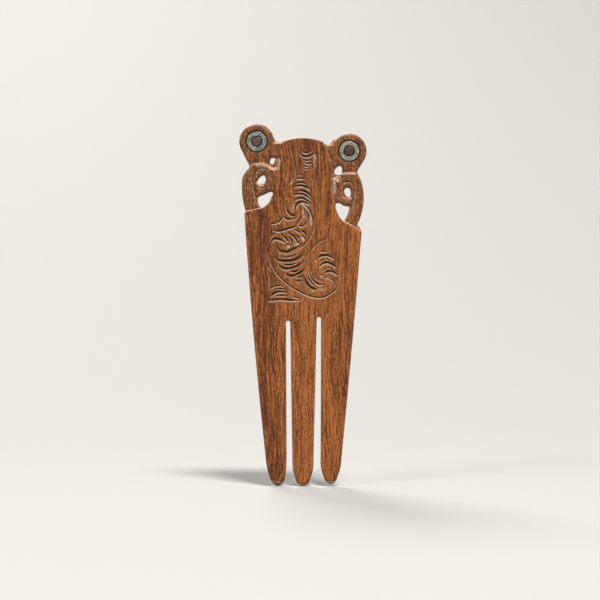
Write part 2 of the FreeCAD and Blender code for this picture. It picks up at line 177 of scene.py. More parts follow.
def writePoints(mesh, points):
    mesh.vertices.foreach_set("co", (points * mm).astype(np.float32).ravel())
    mesh.update()


def ease(low, high, value):
    share = np.clip((value - low) / (high - low), 0, 1)
    return share * share * (3 - 2 * share)


def lineDistance(x, z, line):
    nearest = np.full(x.shape, np.inf)
    for (ax, az), (bx, bz) in zip(line, line[1:]):
        dx, dz = bx - ax, bz - az
        share = np.clip(((x - ax) * dx + (z - az) * dz) / (dx * dx + dz * dz), 0, 1)
        nearest = np.minimum(nearest, np.hypot(x - ax - share * dx, z - az - share * dz))
    return nearest


def insideDistance(x, z, outline):
    # distance to a closed outline, positive inside it
    closed = outline + outline[:1]
    inside = np.zeros(x.shape, bool)
    for (ax, az), (bx, bz) in zip(closed, closed[1:]):
        if az != bz:
            inside ^= ((az > z) != (bz > z)) & (x < ax + (z - az) * (bx - ax) / (bz - az))
    nearest = lineDistance(x, z, closed)
    return np.where(inside, nearest, -nearest)


def followLine(x, z, line):
    # for each point: how far the line is, which side of it the point lies on, and how far along it
    nearest = np.full(x.shape, np.inf)
    side = np.zeros(x.shape)
    along = np.zeros(x.shape)
    spans = len(line) - 1
    tiny = 1e-12
    for number, ((ax, az), (bx, bz)) in enumerate(zip(line, line[1:])):
        dx, dz = bx - ax, bz - az
        share = np.clip(((x - ax) * dx + (z - az) * dz) / (dx * dx + dz * dz + tiny), 0, 1)
        away = np.hypot(x - ax - share * dx, z - az - share * dz)
        closer = away < nearest
        nearest = np.where(closer, away, nearest)
        side = np.where(closer, np.sign(dx * (z - az) - dz * (x - ax)), side)
        along = np.where(closer, (number + share) / spans, along)
    return nearest, side, along


def smoothLine(points, steps=8):
    # a smooth line through the given points
    padded = [points[0]] + list(points) + [points[-1]]
    line = []
    for p0, p1, p2, p3 in zip(padded, padded[1:], padded[2:], padded[3:]):
        for number in range(steps):
            t = number / steps
            line.append(tuple(
                0.5 * (2 * b + (c - a) * t + (2 * a - 5 * b + 4 * c - d) * t ** 2
                       + (3 * b - a - 3 * c + d) * t ** 3)
                for a, b, c, d in zip(p0, p1, p2, p3)))
    return line + [points[-1]]


def wander(x, z, size, seed):
    # slow hand-made unevenness between -1 and 1
    u, v = x / size + seed, z / size - seed * 1.7
    return (np.sin(u * 2.1 + 1.3 * np.sin(v * 1.7)) + np.sin(v * 2.6 + 1.1 * np.sin(u * 2.9 + seed))
            + np.sin((u + v) * 1.3 + 2 * seed)) / 3


# the comb: measures in millimetres, x from the middle, z up from the tips

comb = {
    "voxel": 0.22,
    "triangles": 190000,
    "face": combLow.y / mm,
    "back": combHigh.y / mm,
    "sliceAt": 1.7,              # a level behind every recess and cut, where the slice is clean
    "outlineStep": 0.06,
    "plateStep": (-0.7, 0.1),    # the step down from the plate, from its edge
    "scrollStep": (-1.2, 0.1),
    "scrollDrop": 0.42,
    "lobeDrop": 1.0,
    "borderGroove": (0.4, 2.2),  # depth and width of the hollow beside the plate
    "ledgeHollow": (0.35, 2.6),
    "tipThickness": 2.6,
    "taperFrom": 78,
    "taperBow": 0.03,
    "frontRound": 0.55,
    "headRound": 1.2,
    "tipRound": 1.7,
    "backRound": 0.6,
    "tipsFrom": (9, 1),
    "headFrom": (110, 116),
    "toolMarks": 0.12,
    "planing": (0.05, 0.03),
    "backPlaning": 0.035,
    "pegHoleGap": 0.05,
    "carvedFrom": (-17, 79.5),
    "carvedTo": (17, 150),
}

plateEdge = [
    (-60, -5), (60, -5), (60, 112.2), (25.7, 112.4), (22, 114.5), (17.6, 116.8), (15.5, 120), (13.8, 123.8),
    (12.7, 127.8), (12.3, 131.2), (12.4, 136), (12.6, 139.9), (12, 143.3), (10.4, 147.4), (9.3, 150.4),
    (8.6, 152), (7, 160), (-7.5, 160), (-8.8, 151.6), (-9.9, 147.5), (-10.6, 143.9), (-11.1, 140.5),
    (-11.6, 136), (-12, 131), (-13.2, 127), (-15, 124.6), (-18.1, 122.6), (-21, 121.9), (-25.6, 120.9),
    (-60, 120.9)]
leftScrollEdge = [
    (-30, 118), (-12, 118), (-10.5, 126), (-10, 136), (-10.2, 140), (-12, 139.6), (-13.8, 139.7),
    (-15.6, 141), (-18, 142), (-20.6, 141.8), (-22.6, 141), (-24, 140), (-30, 139)]
rightScrollEdge = [
    (30, 110), (12, 110), (11, 126), (11.4, 134), (13.4, 135.4), (14.8, 134.2), (16.2, 134.4),
    (16.9, 137.4), (20, 137.7), (24.4, 137.6), (30, 137.6)]

gouge = {
    "fullness": 1.25,       # how soon a stroke is at its full depth
    "taper": 0.7,
    "wall": 0.28,           # width of the steep wall, and how much it gains with each millimetre of depth
    "wallPerDepth": 0.66,
    "shortWall": 0.55,      # share of the depth that the wall opposite takes
    "shortWallWidth": 0.9,  # of the steep wall's
    "sweep": 1.4,           # how hollow the long slope is
    "lip": 0.9,             # how strong the painted highlight on the lip below the cut is
    "lipWidth": 0.3,
    "lipPerDepth": 0.22,
    "shadeReach": 2,           # how far round a stroke the painted shade reaches
    "shadeAround": 0.64,
    "keenShade": 0.22,
    "softness": 0.45,       # keenness of the soft cuts
}

# Gouge cuts: slope width, depth, steep side (1 is left of the stroke) and the stroke.
crownSpray = [
    (1, 0.45, 1, [(-0.9, 147.9), (0.2, 147.1), (1.5, 146.9), (2.9, 147.2), (4.1, 147.9)]),
    (1.1, 0.7, 1, [(-1.3, 146.7), (-0.6, 145.9), (0.6, 145.4), (1.9, 145.2), (3.3, 145.6), (4.4, 146.3),
                   (5.3, 146.8)]),
    (0.9, 0.45, 1, [(-0.1, 144.3), (0.8, 143.7), (1.8, 143.5), (3.3, 144)]),
    (0.9, 0.5, 1, [(0.1, 143.1), (1.2, 142.4), (2.4, 142.1), (3.9, 142.3)]),
    (0.7, 0.4, 1, [(0.3, 141.6), (1.2, 140.9), (2.6, 141.1)]),
    (0.7, 0.35, 1, [(0.2, 140.3), (1.3, 139.8), (2.8, 139.9)]),
    (1.2, 0.35, 1, [(4.9, 146.6), (5.8, 145.6), (6, 144.4), (5.6, 143.2), (4.7, 142.4)]),
    (1, 0.3, 1, [(5.2, 142.6), (5.9, 141.6), (5.5, 140.6), (4.6, 139.8)]),
    (0.8, 0.22, 1, [(3.9, 140.6), (4, 139), (3.6, 137.4)]),
    (0.5, 0.2, -1, [(-4.6, 147.4), (-4.5, 144.4), (-4.4, 141.6), (-4.2, 139.4)]),
    (0.9, 0.4, -1, [(-5, 133), (-4.2, 134.5), (-3.2, 135.4), (-2.9, 137), (-3.3, 139), (-3, 141.5)]),
    (0.5, 0.2, 1, [(4.9, 138.6), (5, 136), (4.4, 134.4), (4.6, 132.4), (4.3, 129.8)]),
]
upperSpray = [
    (0.7, 0.4, 1, [(-2.4, 136.9), (-1.4, 137.4), (-0.3, 136.9)]),
    (0.9, 0.5, 1, [(-3.1, 135.4), (-1.8, 135.7), (-0.4, 135.6), (0.6, 135.2)]),
    (0.9, 0.55, 1, [(-2.9, 133.4), (-1.4, 133.9), (-0.2, 133.8), (1.1, 133.3)]),
    (1.1, 0.75, 1, [(-4, 131.5), (-2.8, 132.2), (-1.7, 132.5), (-0.5, 132.5), (0.8, 132), (2.2, 131.3),
                    (3, 130.7)]),
    (1, 0.7, 1, [(-2.6, 129.9), (-1, 130.2), (0.3, 130.1), (1.5, 129.5), (2.7, 128.5), (3.5, 127.4)]),
    (1.1, 0.75, 1, [(-4.4, 128.3), (-2.8, 128.7), (-1.4, 128.9), (0, 128.7), (1.2, 128.1), (2.4, 127.2),
                    (3.6, 126)]),
    (1, 0.6, 1, [(-3.7, 125.7), (-2.6, 126.5), (-0.9, 126.9), (0.8, 126.5), (2.3, 125.5), (3.3, 124.9)]),
    (1.3, 0.85, 1, [(-3.2, 121.6), (-3.1, 122.8), (-2.4, 124.2), (-1.4, 125.1), (-0.3, 125.4), (1, 125),
                    (2.2, 124.5), (3.4, 124.4)]),
    (0.7, 0.3, -1, [(-4.4, 120.8), (-5, 122.4), (-4.6, 124.2), (-3.6, 125.4)]),
    (1.4, 0.55, 1, [(0.2, 124.9), (1.4, 123.6), (2.5, 122.2), (3.3, 120.8), (3.9, 119), (4.2, 117),
                    (4, 114.8)]),
    (0.7, 0.7, 1, [(1.5, 121.6), (2, 120.6), (2.3, 119.4), (2.2, 118.2), (1.6, 117.3)]),
    (0.6, 0.4, 1, [(0.3, 122.4), (0.6, 120.6), (0.7, 118.6)]),
    (0.5, 0.5, 1, [(1.2, 121.2), (1.4, 119.8), (1.3, 118.3)]),
    (0.8, 0.5, 1, [(-1.8, 114.8), (-0.8, 114.6), (0.3, 115), (1.3, 115.6), (2, 116.6)]),
]
middleLeaf = [
    (0.9, 0.75, 1, [(-7.3, 124.3), (-7.4, 122.9), (-6.9, 121.3), (-6, 120.1), (-4.9, 119.5), (-3.8, 119.2),
                    (-2.6, 119.7)]),
    (0.9, 0.7, 1, [(-8.6, 119.2), (-7.9, 118.3), (-6.9, 117.7), (-5.8, 117.6), (-4.9, 118), (-3.6, 118.9)]),
    (0.7, 0.6, 1, [(-4.3, 117.2), (-3.3, 118.3), (-2.3, 119.1)]),
    (0.7, 0.6, 1, [(-1.9, 116.8), (-1.1, 117.9), (-0.6, 118.9)]),
    (0.7, 0.45, 1, [(-3.2, 115), (-2.1, 116.1), (-1.2, 117.2), (-0.4, 118.5)]),
    (0.8, 0.55, 1, [(-14, 115.5), (-12.7, 115.9), (-11.2, 116.1)]),
    (0.8, 0.6, 1, [(-11.4, 116.1), (-10.3, 116.6), (-9.6, 117.6), (-8.9, 118.9)]),
    (0.9, 0.8, 1, [(-13, 113.2), (-11.9, 112.6), (-10.3, 112.5), (-8.8, 112.8), (-7.2, 113.3),
                   (-5.4, 113.8), (-3.7, 114.3), (-2.6, 114.9)]),
]
middleFan = [
    (0.8, 0.5, 1, [(-4.2, 113.5), (-2.9, 112.8), (-1.4, 111.9), (-0.8, 111.2)]),
    (0.9, 0.8, 1, [(-0.6, 112.8), (0.3, 112.1), (0.9, 111.2), (1, 110.2)]),
    (1.5, 0.6, 1, [(-0.6, 110.9), (0.3, 110), (0.9, 108.9)]),
    (0.7, 0.6, 1, [(-3, 110.6), (-2.2, 109.8), (-1.6, 109)]),
    (1.2, 0.8, 1, [(-6.4, 111.5), (-5, 110.9), (-3.7, 109.8), (-2.9, 108.5), (-2.8, 107.2)]),
    (1.4, 0.55, 1, [(-3.2, 107.6), (-2.4, 107.4), (-1.6, 107)]),
    (0.9, 0.7, 1, [(-6.4, 110.2), (-5.6, 109.2), (-5.2, 108), (-5.4, 106.8)]),
    (1, 0.7, 1, [(-9.1, 110.5), (-8, 109.7), (-7, 108.6), (-6.5, 107.6)]),
    (1.4, 0.5, 1, [(-6.8, 106.6), (-5.9, 106.5), (-5.3, 105.8)]),
    (1.2, 0.85, 1, [(-14, 107.2), (-13.2, 108.6), (-12, 109.1), (-10.8, 108.9), (-9.4, 108.3), (-8, 107.4)]),
    (0.8, 0.25, 1, [(-15.4, 106), (-15, 108), (-14, 109.9), (-12.6, 111), (-11, 111.2)]),
]
# the lower ribs are cut with a wider sweep, so they run out softly
softCuts = [
    (1.3, 0.9, 1, [(0.5, 92.6), (1, 90.8), (1.9, 89.2), (3.1, 88), (4.6, 87), (6, 86.6)]),
    (0.9, 0.4, 1, [(2.9, 102.2), (3.7, 104), (5, 105.9), (6.8, 107.6), (8.8, 108.6), (10.8, 109.1)]),
    (0.9, 0.35, 1, [(7.2, 98.4), (8, 99.4), (9.4, 100.2), (11, 100.1), (12.6, 99.2)]),
    (0.9, 0.35, 1, [(8.4, 95), (9.6, 96), (11.2, 96.4), (12.6, 95.9), (13.8, 95)]),
    (0.8, 0.3, 1, [(9.2, 92.9), (10.6, 93.1), (12.4, 92.3), (13.9, 90.9), (14.3, 89.6)]),
    (0.8, 0.4, 1, [(5.2, 95.4), (5.4, 93.6), (6.1, 92.1), (7.2, 90.9), (8.6, 90)]),
    (1.5, 0.8, 1, [(-12, 106.2), (-11, 105), (-10, 103.9), (-8.4, 103.3), (-6.8, 103.4), (-5, 104.2),
                    (-3.2, 105.1), (-1.4, 106), (0, 107.1)]),
    (1.1, 0.4, 1, [(-9.4, 101.2), (-7.2, 101), (-5, 101.4), (-3.4, 102.2)]),
    (1.6, 0.9, 1, [(-12.8, 101.2), (-11.4, 100), (-9.4, 99.4), (-7.4, 99.3), (-5.4, 99.5), (-3.7, 99.9),
                    (-1.9, 100.7), (-0.5, 101.6), (0.5, 102.5)]),
    (1.1, 0.65, 1, [(-9, 98.3), (-7, 97.6), (-5.2, 97.7), (-3, 98.4)]),
    (1.6, 0.9, 1, [(-10.9, 98.3), (-9.9, 96.9), (-8.1, 96.1), (-6.3, 96), (-4.6, 96.4), (-2.8, 97),
                    (-1.3, 97.8), (0.2, 99)]),
    (1.2, 0.8, 1, [(-6, 94.9), (-5, 94.8), (-3.9, 94.6), (-2.8, 95), (-2, 95.8)]),
    (1.6, 0.9, 1, [(-8, 94.2), (-6.9, 93.2), (-5.4, 92.8), (-4.1, 92.9), (-2.7, 93.4), (-1.3, 94.1),
                    (0, 95), (0.8, 96)]),
    (0.9, 0.6, 1, [(-3.2, 92.1), (-1.7, 92.2), (-0.5, 92.5), (0.5, 93.3)]),
    (0.9, 0.5, 1, [(-3.1, 90.7), (-1.7, 90.5), (-0.1, 90.9)]),
]
lowerScroll = [
    (0.9, 0.5, 1, [(7.4, 103.3), (8.8, 103.6), (10.5, 103.5)]),
    (1.2, 0.8, 1, [(6.6, 100.2), (7.5, 101.2), (8.8, 101.7), (10.2, 101.8), (11.8, 101.3), (13.6, 100.1)]),
    (1.2, 0.85, 1, [(7.3, 96.8), (8.3, 97.8), (9.5, 98.5), (10.8, 98.6), (12.1, 98.2), (13.9, 97),
                    (14.5, 96.4)]),
    (1.2, 0.85, 1, [(9.8, 93.7), (10.8, 94.6), (11.8, 94.8), (13.2, 94.4), (15.3, 93)]),
    (0.8, 0.45, 1, [(8.8, 91.7), (10, 92.1), (11.4, 91.8), (12.7, 90.9), (13.6, 89.8), (13.8, 88.4)]),
    (0.7, 0.3, 1, [(5.2, 99.9), (5.8, 99.8), (6.2, 99.4)]),
    (0.9, 0.35, 1, [(7.4, 93.2), (8, 93.1), (8.7, 92.7)]),
    (0.7, 0.7, 1, [(2.2, 92.4), (2.9, 91), (3.8, 89.7), (4.7, 88.8)]),
    (0.9, 0.65, 1, [(2.8, 94.6), (3.3, 92.7), (4.2, 91.2), (5.3, 90), (6.5, 89.2), (7.8, 88.9),
                    (9.2, 88.9)]),
    (0.6, 0.4, 1, [(3.6, 95.4), (4.1, 93.4), (5, 92), (6.3, 90.9)]),
]
cornerLeaf = [
    (0.6, 0.4, 1, [(-15, 93.9), (-14.6, 91.7), (-14.4, 89.9), (-14.5, 88.1), (-14.6, 86.4)]),
    (0.8, 0.5, 1, [(-14.6, 86.3), (-13.8, 87.4), (-12.7, 88.1), (-11.3, 88.4), (-10, 88.5), (-8.6, 88.3)]),
    (0.7, 0.5, 1, [(-11.8, 86.9), (-9.7, 87.1), (-7.8, 86.9)]),
    (1, 0.85, 1, [(-14.2, 83.6), (-13.2, 84.5), (-12, 85.3), (-10.8, 85.8), (-9.2, 85.8), (-7.2, 85.5)]),
    (0.7, 0.5, 1, [(-4.4, 83.8), (-3, 83.2), (-1.6, 82.9)]),
    (0.6, 0.3, 1, [(-12.4, 83.8), (-9.6, 84), (-6.8, 83.9)]),
    (0.9, 0.75, 1, [(-15.2, 81.7), (-13.2, 82), (-11, 82.4), (-8.6, 82.3), (-6.3, 82.1), (-4.1, 82),
                    (-1, 81.9)]),
    (0.6, 0.35, 1, [(-15.9, 97.2), (-15, 96.3), (-14.3, 95)]),
]
# fine lines left by a parting tool
partingLines = [
    (0.6, 0.4, -1, [(4.4, 117.2), (4.8, 115.6), (4.9, 114.2), (4.5, 112.8), (3.8, 111.2), (2.8, 109.3),
                    (1.6, 107.5), (0.2, 106), (-1.6, 104.9), (-3.4, 103.8), (-5.3, 103), (-7.2, 102.5),
                    (-9.2, 102.5), (-11, 102.9)]),
    (0.6, 0.5, 1, [(-15.8, 104), (-15.5, 101.6), (-14.6, 99.2), (-13.7, 97.4), (-12.6, 95.4),
                   (-11.5, 93.7), (-10.3, 92.3), (-9.1, 91.1), (-7.5, 89.7), (-5.7, 88.4), (-3.9, 87.2),
                   (-1.7, 86), (0.5, 84.9), (2.7, 84), (4.9, 83.4), (7, 83.2), (9.1, 83.4), (10.8, 84.1),
                   (12.5, 85.1), (13.9, 86.2), (14.7, 87.3), (14.8, 88.6), (14.5, 89.9), (13.6, 91.2)]),
    (0.5, 0.2, 1, [(1.9, 102), (1.9, 100.8), (1.8, 98), (2.4, 95.4)]),
]
carving = crownSpray + upperSpray + middleLeaf + middleFan + lowerScroll + cornerLeaf + partingLines

# grooves that shape the arms and curls of the two scrolls
scrollGrooves = [
    (1.8, 0.6, 1, [(-20.8, 141.4), (-22.4, 138.6), (-22.6, 135.4), (-22, 132), (-21.4, 129), (-20.6, 126),
                    (-19.4, 123.2)]),
    (1.4, 0.4, 1, [(-21.6, 136.2), (-20.4, 138.9), (-18.2, 140.3), (-16, 139.7), (-14.6, 137.6),
                    (-14.4, 134.8)]),
    (0.9, 0.3, -1, [(-20.9, 133), (-19.6, 131.9), (-17.6, 131.6), (-15.6, 132.4), (-14.4, 133.6)]),
    (1.6, 0.55, -1, [(22, 136.6), (23.2, 134), (23, 131), (22.5, 128), (22.1, 125.6), (21.2, 122.4),
                    (19.6, 118.6)]),
    (1.4, 0.4, 1, [(16.4, 131.4), (17.4, 133.4), (19.4, 134.4), (21.4, 133.6), (22.3, 131.4)]),
    (0.9, 0.3, -1, [(17, 129.6), (17.8, 127.2), (19.4, 126.1), (21.2, 126.4)]),
    (1, 0.35, -1, [(14.6, 132.6), (14.9, 129.6), (15.6, 127)]),
    (2.4, 0.45, 1, [(13, 136.4), (14.6, 136.9), (16.6, 137.2)]),
]

# painted highlights, drawn as pale wood, along lit edges, ledges, carved bands and the tine tips' facets:
# how wide, and the line it follows
paintedHighlightLines = [
    (0.75, [(13.5, 136.6), (13.8, 133.4), (14, 130)]),
    (1.1, [(15, 135.8), (15.6, 135.2)]),
    (0.9, [(-20, 141.9), (-17.4, 141.6), (-15.4, 141), (-13.8, 140.2), (-12.2, 139.9), (-11, 141),
           (-10.6, 143.8)]),
    (0.9, [(9.8, 151.6), (11.2, 150.6), (12.8, 150.8)]),
    (0.5, [(-12.6, 151.4), (-10.8, 151.6), (-9.2, 152.2)]),
    (0.75, [(-0.2, 124.5), (1.2, 123.2), (2.1, 121.9), (2.9, 120.2), (3.4, 118.4), (3.7, 116)]),
    (0.35, [(0.1, 122.2), (0.3, 120.4), (0.5, 118.8)]),
    (0.4, [(-4.2, 121.3), (-4.5, 122.8), (-3.9, 124.2)]),
    (0.8, [(-0.4, 109.9), (0.1, 108.6)]),
    (0.8, [(-3.3, 106.4), (-2.1, 106.9)]),
    (0.7, [(-6.9, 105), (-6.1, 106.1)]),
    (0.5, [(7.7, 92.8), (8.3, 92.4)]),
    (0.4, [(6.4, 86.9), (9, 86.9)]),
    (0.4, [(5.4, 99.6), (6, 99.2)]),
    (0.5, [(5.1, 145.8), (5.4, 144.4), (4.9, 143)]),
    (0.4, [(5.3, 141.9), (5.2, 140.9)]),
    (0.4, [(-5.4, 133.3), (-4.5, 134.8), (-3.5, 135.7)]),
    (0.5, [(16.6, 137.9), (19.6, 138), (22.6, 137.9)]),
    (0.35, [(-13.5, 2.2), (-11.4, 1.7), (-9.3, 1.9)]),
    (0.3, [(-1.6, 0.9), (0.8, 0.6), (3, 0.9)]),
    (0.35, [(9.7, 2.2), (11.4, 1.9), (13.4, 2.1)]),
    (0.5, [(17.6, 127.6), (19.4, 126.4), (21.2, 127.2)]),
    (0.5, [(-20.4, 134.2), (-19, 132.7), (-17.4, 132.6)]),
]
# pale wear, painted highlights, and the painted shade on the head
wearAndPaintedLight = {
    "edge": 0.4,
    "rim": 0.3,              # width of the pale arris, part wear and part painted edge highlight, twice that on the head
    "ledgesFrom": (108, 112),
    "flecks": 0.4,
    "grooves": 0.6,
    "backEdge": 0.4,
    "sawnEdge": 0.1,
    # painted shade over the recessed head
    "headShade": 0.14,
}


def cutBlank():
    # the true outline as one full-thickness slab: a slice of the CAD solid, stretched to the front face
    blank = bmesh.new()
    blank.from_mesh(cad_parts["comb_body"].data)
    bmesh.ops.remove_doubles(blank, verts=blank.verts, dist=0.002 * mm)
    everything = blank.verts[:] + blank.edges[:] + blank.faces[:]
    made = bmesh.ops.bisect_plane(blank, geom=everything, plane_co=(0, comb["sliceAt"] * mm, 0),
                                  plane_no=(0, -1, 0), clear_outer=True)
    rim = [part for part in made["geom_cut"] if isinstance(part, bmesh.types.BMEdge)]
    bmesh.ops.triangle_fill(blank, edges=rim, use_beauty=True, normal=(0, -1, 0))
    rimPoints = {point for edge in rim for point in edge.verts}
    outline = [(edge.verts[0].co.copy(), edge.verts[1].co.copy()) for edge in rim]
    toFront = (comb["face"] - comb["sliceAt"]) * mm
    bmesh.ops.translate(blank, verts=list(rimPoints), vec=(0, toFront, 0))
    bmesh.ops.recalc_face_normals(blank, faces=blank.faces[:])
    mesh = bpy.data.meshes.new("blank")
    blank.to_mesh(mesh)
    blank.free()
    return mesh, outline


def edgeDistance(points, outline):
    # how far each point stands from the nearest sawn edge, in the plane of the plate
    samples = []
    for start, end in outline:
        count = max(1, int((end - start).length / (comb["outlineStep"] * mm)))
        samples += [start.lerp(end, number / count) for number in range(count)]
    tree = KDTree(len(samples))
    for number, point in enumerate(samples):
        tree.insert((point.x / mm, 0, point.z / mm), number)
    tree.balance()
    return np.array([tree.find((x, 0, z))[2] for x, z in points[:, (0, 2)].tolist()])


def noCuts(x):
    return {name: np.zeros(x.shape) for name in ("depth", "grime", "bare")}


def strokeCut(x, z, cuts, stroke, keen=1):
    # carve one stroke: a steep wall, a short wall opposite if it is keen, and a long slope back up
    slope, deep, steepSide, points = stroke
    line = smoothLine(points)
    spread = max(slope, gouge["shadeReach"])
    lowX, lowZ = np.min(line, axis=0) - spread
    highX, highZ = np.max(line, axis=0) + spread
    near = np.flatnonzero((x > lowX) & (x < highX) & (z > lowZ) & (z < highZ))
    if not len(near):
        return
    away, side, along = followLine(x[near], z[near], line)
    # a gouge goes in and comes out narrower and shallower than it runs
    swell = np.clip(np.sin(np.pi * (along * 0.96 + 0.02)) * gouge["fullness"], 0, 1) ** gouge["taper"]
    steep = side * steepSide > 0
    wall = (gouge["wall"] + gouge["wallPerDepth"] * deep) * (0.4 + 0.6 * swell)
    reach = slope * (0.35 + 0.65 * swell)
    fall = np.clip(1 - np.where(steep, away / wall, away / reach), 0, 1)
    shortWall = gouge["shortWall"] * keen
    opposite = np.clip(1 - away / (wall * gouge["shortWallWidth"]), 0, 1)
    slopeCut = (1 - shortWall) * fall ** gouge["sweep"] + shortWall * opposite
    cut = deep * swell * np.where(steep, fall, slopeCut)

    # painted highlight on the lip below the cut, painted shade over the steep wall and along the bottom of
    # the cut, and fainter painted shade all round it
    lipWidth = gouge["lipWidth"] + gouge["lipPerDepth"] * deep
    lip = np.clip(1.45 - away / lipWidth, 0, 1) * np.clip(away / 0.12, 0, 1)
    lip = gouge["lip"] * keen * np.where(steep, 0, lip)
    shadeAround = gouge["shadeAround"] - gouge["keenShade"] * keen
    shadeAround = shadeAround * np.clip(1.2 * (1 - away / gouge["shadeReach"]), 0, 1) * (1 - lip)
    wallShade = np.clip(1.5 - 1.4 * away / np.where(steep, wall * 1.2, 0.12), 0, 1)
    strength = swell * min(1, deep * 1.5)
    made = {"depth": cut, "grime": np.maximum(wallShade, shadeAround) * strength, "bare": lip * strength}
    for name, value in made.items():
        cuts[name][near] = np.maximum(cuts[name][near], value)


def plateLevel(x, z):
    # how far the scrolls and lobes lie behind the plate's face, and where the plate and the scrolls are
    plateDistance = insideDistance(x, z, plateEdge)
    plate = ease(*comb["plateStep"], plateDistance)
    scrollDistance = np.maximum(insideDistance(x, z, leftScrollEdge), insideDistance(x, z, rightScrollEdge))
    scroll = ease(*comb["scrollStep"], scrollDistance)
    grooveDepth, grooveWidth = comb["borderGroove"]
    hollowDepth, hollowWidth = comb["ledgeHollow"]
    side = comb["lobeDrop"] + (comb["scrollDrop"] - comb["lobeDrop"]) * scroll
    side = side + grooveDepth * np.clip(1 + plateDistance / grooveWidth, 0, 1) ** 2
    side = side + hollowDepth * (1 - scroll) * np.clip(1 + (scrollDistance + 1) / hollowWidth, 0, 1)
    return side * (1 - plate), plate, scroll


def rounded(edge, radius):
    # how far a rounded edge falls back
    return radius * np.clip(1 - edge / radius, 0, 1) ** 2.1 * 0.85


def paleWearAndHighlights(x, z, edge, head, plate, scroll):
    # pale wood: painted highlights on the ledges, stronger on the right and below the shoulder, and along
    # the listed lines; arrises that are worn and also painted as edge highlights; and pale flecks on the
    # head
    rightOrShoulder = np.maximum(ease(-2, 2, x), ease(125, 123, z))
    ledges = np.maximum(4 * plate * (1 - plate) * (0.15 + 0.85 * rightOrShoulder),
                        4 * scroll * (1 - scroll) * (1 - plate))
    patchy = 0.65 + 0.35 * wander(x, z, 1.6, 4.4)
    arris = wearAndPaintedLight["edge"] * np.exp(-edge / (wearAndPaintedLight["rim"] * (1 + head)))
    wearAndLit = np.maximum(ledges * patchy * ease(*wearAndPaintedLight["ledgesFrom"], z), arris * patchy)
    flecks = ease(0.2, 0.75, wander(x, z, 0.55, 8.1)) * ease(-0.4, 0.5, wander(x, z, 2.6, 1.9))
    wearAndLit = np.maximum(wearAndLit, wearAndPaintedLight["flecks"] * head * flecks)
    for width, line in paintedHighlightLines:
        place = ease(width * 1.3, width * 0.4, lineDistance(x, z, line))
        wearAndLit = np.maximum(wearAndLit, (0.6 + 0.4 * patchy) * place)
    return wearAndLit * (0.4 + 0.6 * ease(-0.5, 0.5, wander(x, z, 0.5, 6.2)))


def frontDepth(x, z, edge):
    # how far the front lies behind the plate's flat face, where shade is painted dark, and where wear and
    # highlights are painted pale
    level, plate, scroll = plateLevel(x, z)
    thinner = (comb["back"] - comb["face"]) - comb["tipThickness"]
    down = np.clip((comb["taperFrom"] - z) / comb["taperFrom"], 0, 1)
    level = level + thinner * (down + comb["taperBow"] * np.sin(np.pi * down))

    carved, shaped = noCuts(x), noCuts(x)
    for stroke in carving:
        strokeCut(x, z, carved, stroke)
    for stroke in softCuts:
        strokeCut(x, z, carved, stroke, gouge["softness"])
    for stroke in scrollGrooves:
        strokeCut(x, z, shaped, stroke)

    head = ease(*comb["headFrom"], z) * (1 - plate)
    tooled = np.maximum(head, np.clip(carved["grime"] * 2, 0, 0.8))
    toolMarks = comb["toolMarks"] * wander(x, z, 0.9, 0.7) * tooled
    fine, broad = comb["planing"]
    planing = fine * wander(x, z * 0.3, 4.5, 2.1) + broad * wander(x, z, 7, 5.3)

    radius = comb["frontRound"] + (comb["tipRound"] - comb["frontRound"]) * ease(*comb["tipsFrom"], z)
    radius = radius + (comb["headRound"] - comb["frontRound"]) * head
    depth = level + carved["depth"] + shaped["depth"] + toolMarks + planing + rounded(edge, radius)

    wearAndLit = paleWearAndHighlights(x, z, edge, head, plate, scroll)
    # pale wood: painted highlights on the lips of cuts and grooves, on ledges, edges and the listed lines,
    # with some real wear on the edges
    bare = np.maximum.reduce([carved["bare"], shaped["bare"] * wearAndPaintedLight["grooves"], wearAndLit])
    # painted shade: in and round the cuts, half as much in the scroll grooves, and over the recessed head
    grime = np.maximum.reduce([carved["grime"], shaped["grime"] * 0.5, wearAndPaintedLight["headShade"] * head])
    return depth, grime, bare


def refineFront(mesh):
    # finer squares on the front, where the carving and the head are
    work = bmesh.new()
    work.from_mesh(mesh)
    (leftX, lowZ), (rightX, highZ) = comb["carvedFrom"], comb["carvedTo"]
    frontSkin = 0.3
    edges = set()
    for face in work.faces:
        middle = face.calc_center_median() / mm
        carved = leftX < middle.x < rightX and lowZ < middle.z < highZ
        onFront = middle.y < comb["face"] + frontSkin
        if onFront and (carved or middle.z > comb["headFrom"][0]):
            edges.update(face.edges)
    bmesh.ops.subdivide_edges(work, edges=list(edges), cuts=1, use_grid_fill=True)
    work.to_mesh(mesh)
    work.free()


def sinkCircle(x, z, y, front, centre, radius, floor):
    # sink a round recess with a clean wall: the points beside it are moved onto its circle
    clear = 0.01
    dx, dz = x - centre[0], z - centre[1]
    away = np.hypot(dx, dz)
    band = (np.abs(away - radius) < comb["voxel"] * 0.75) & front
    wanted = np.where(away < radius, radius - clear, radius + clear)
    scale = np.where(band, wanted / np.maximum(away, clear), 1)
    x[:] = centre[0] + dx * scale
    z[:] = centre[1] + dz * scale
    y[:] = np.where(front & (away < radius), floor, y)


def sinkEye(side, x, y, z, front):
    low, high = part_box(side + "_eye_bedding")
    centre = ((low.x + high.x) / 2 / mm, (low.z + high.z) / 2 / mm)
    sinkCircle(x, z, y, front, centre, (high.x - low.x) / 2 / mm, high.y / mm)
    low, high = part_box(side + "_eye_pupil")
    sinkCircle(x, z, y, front, centre, (high.x - low.x) / 2 / mm + comb["pegHoleGap"], high.y / mm)


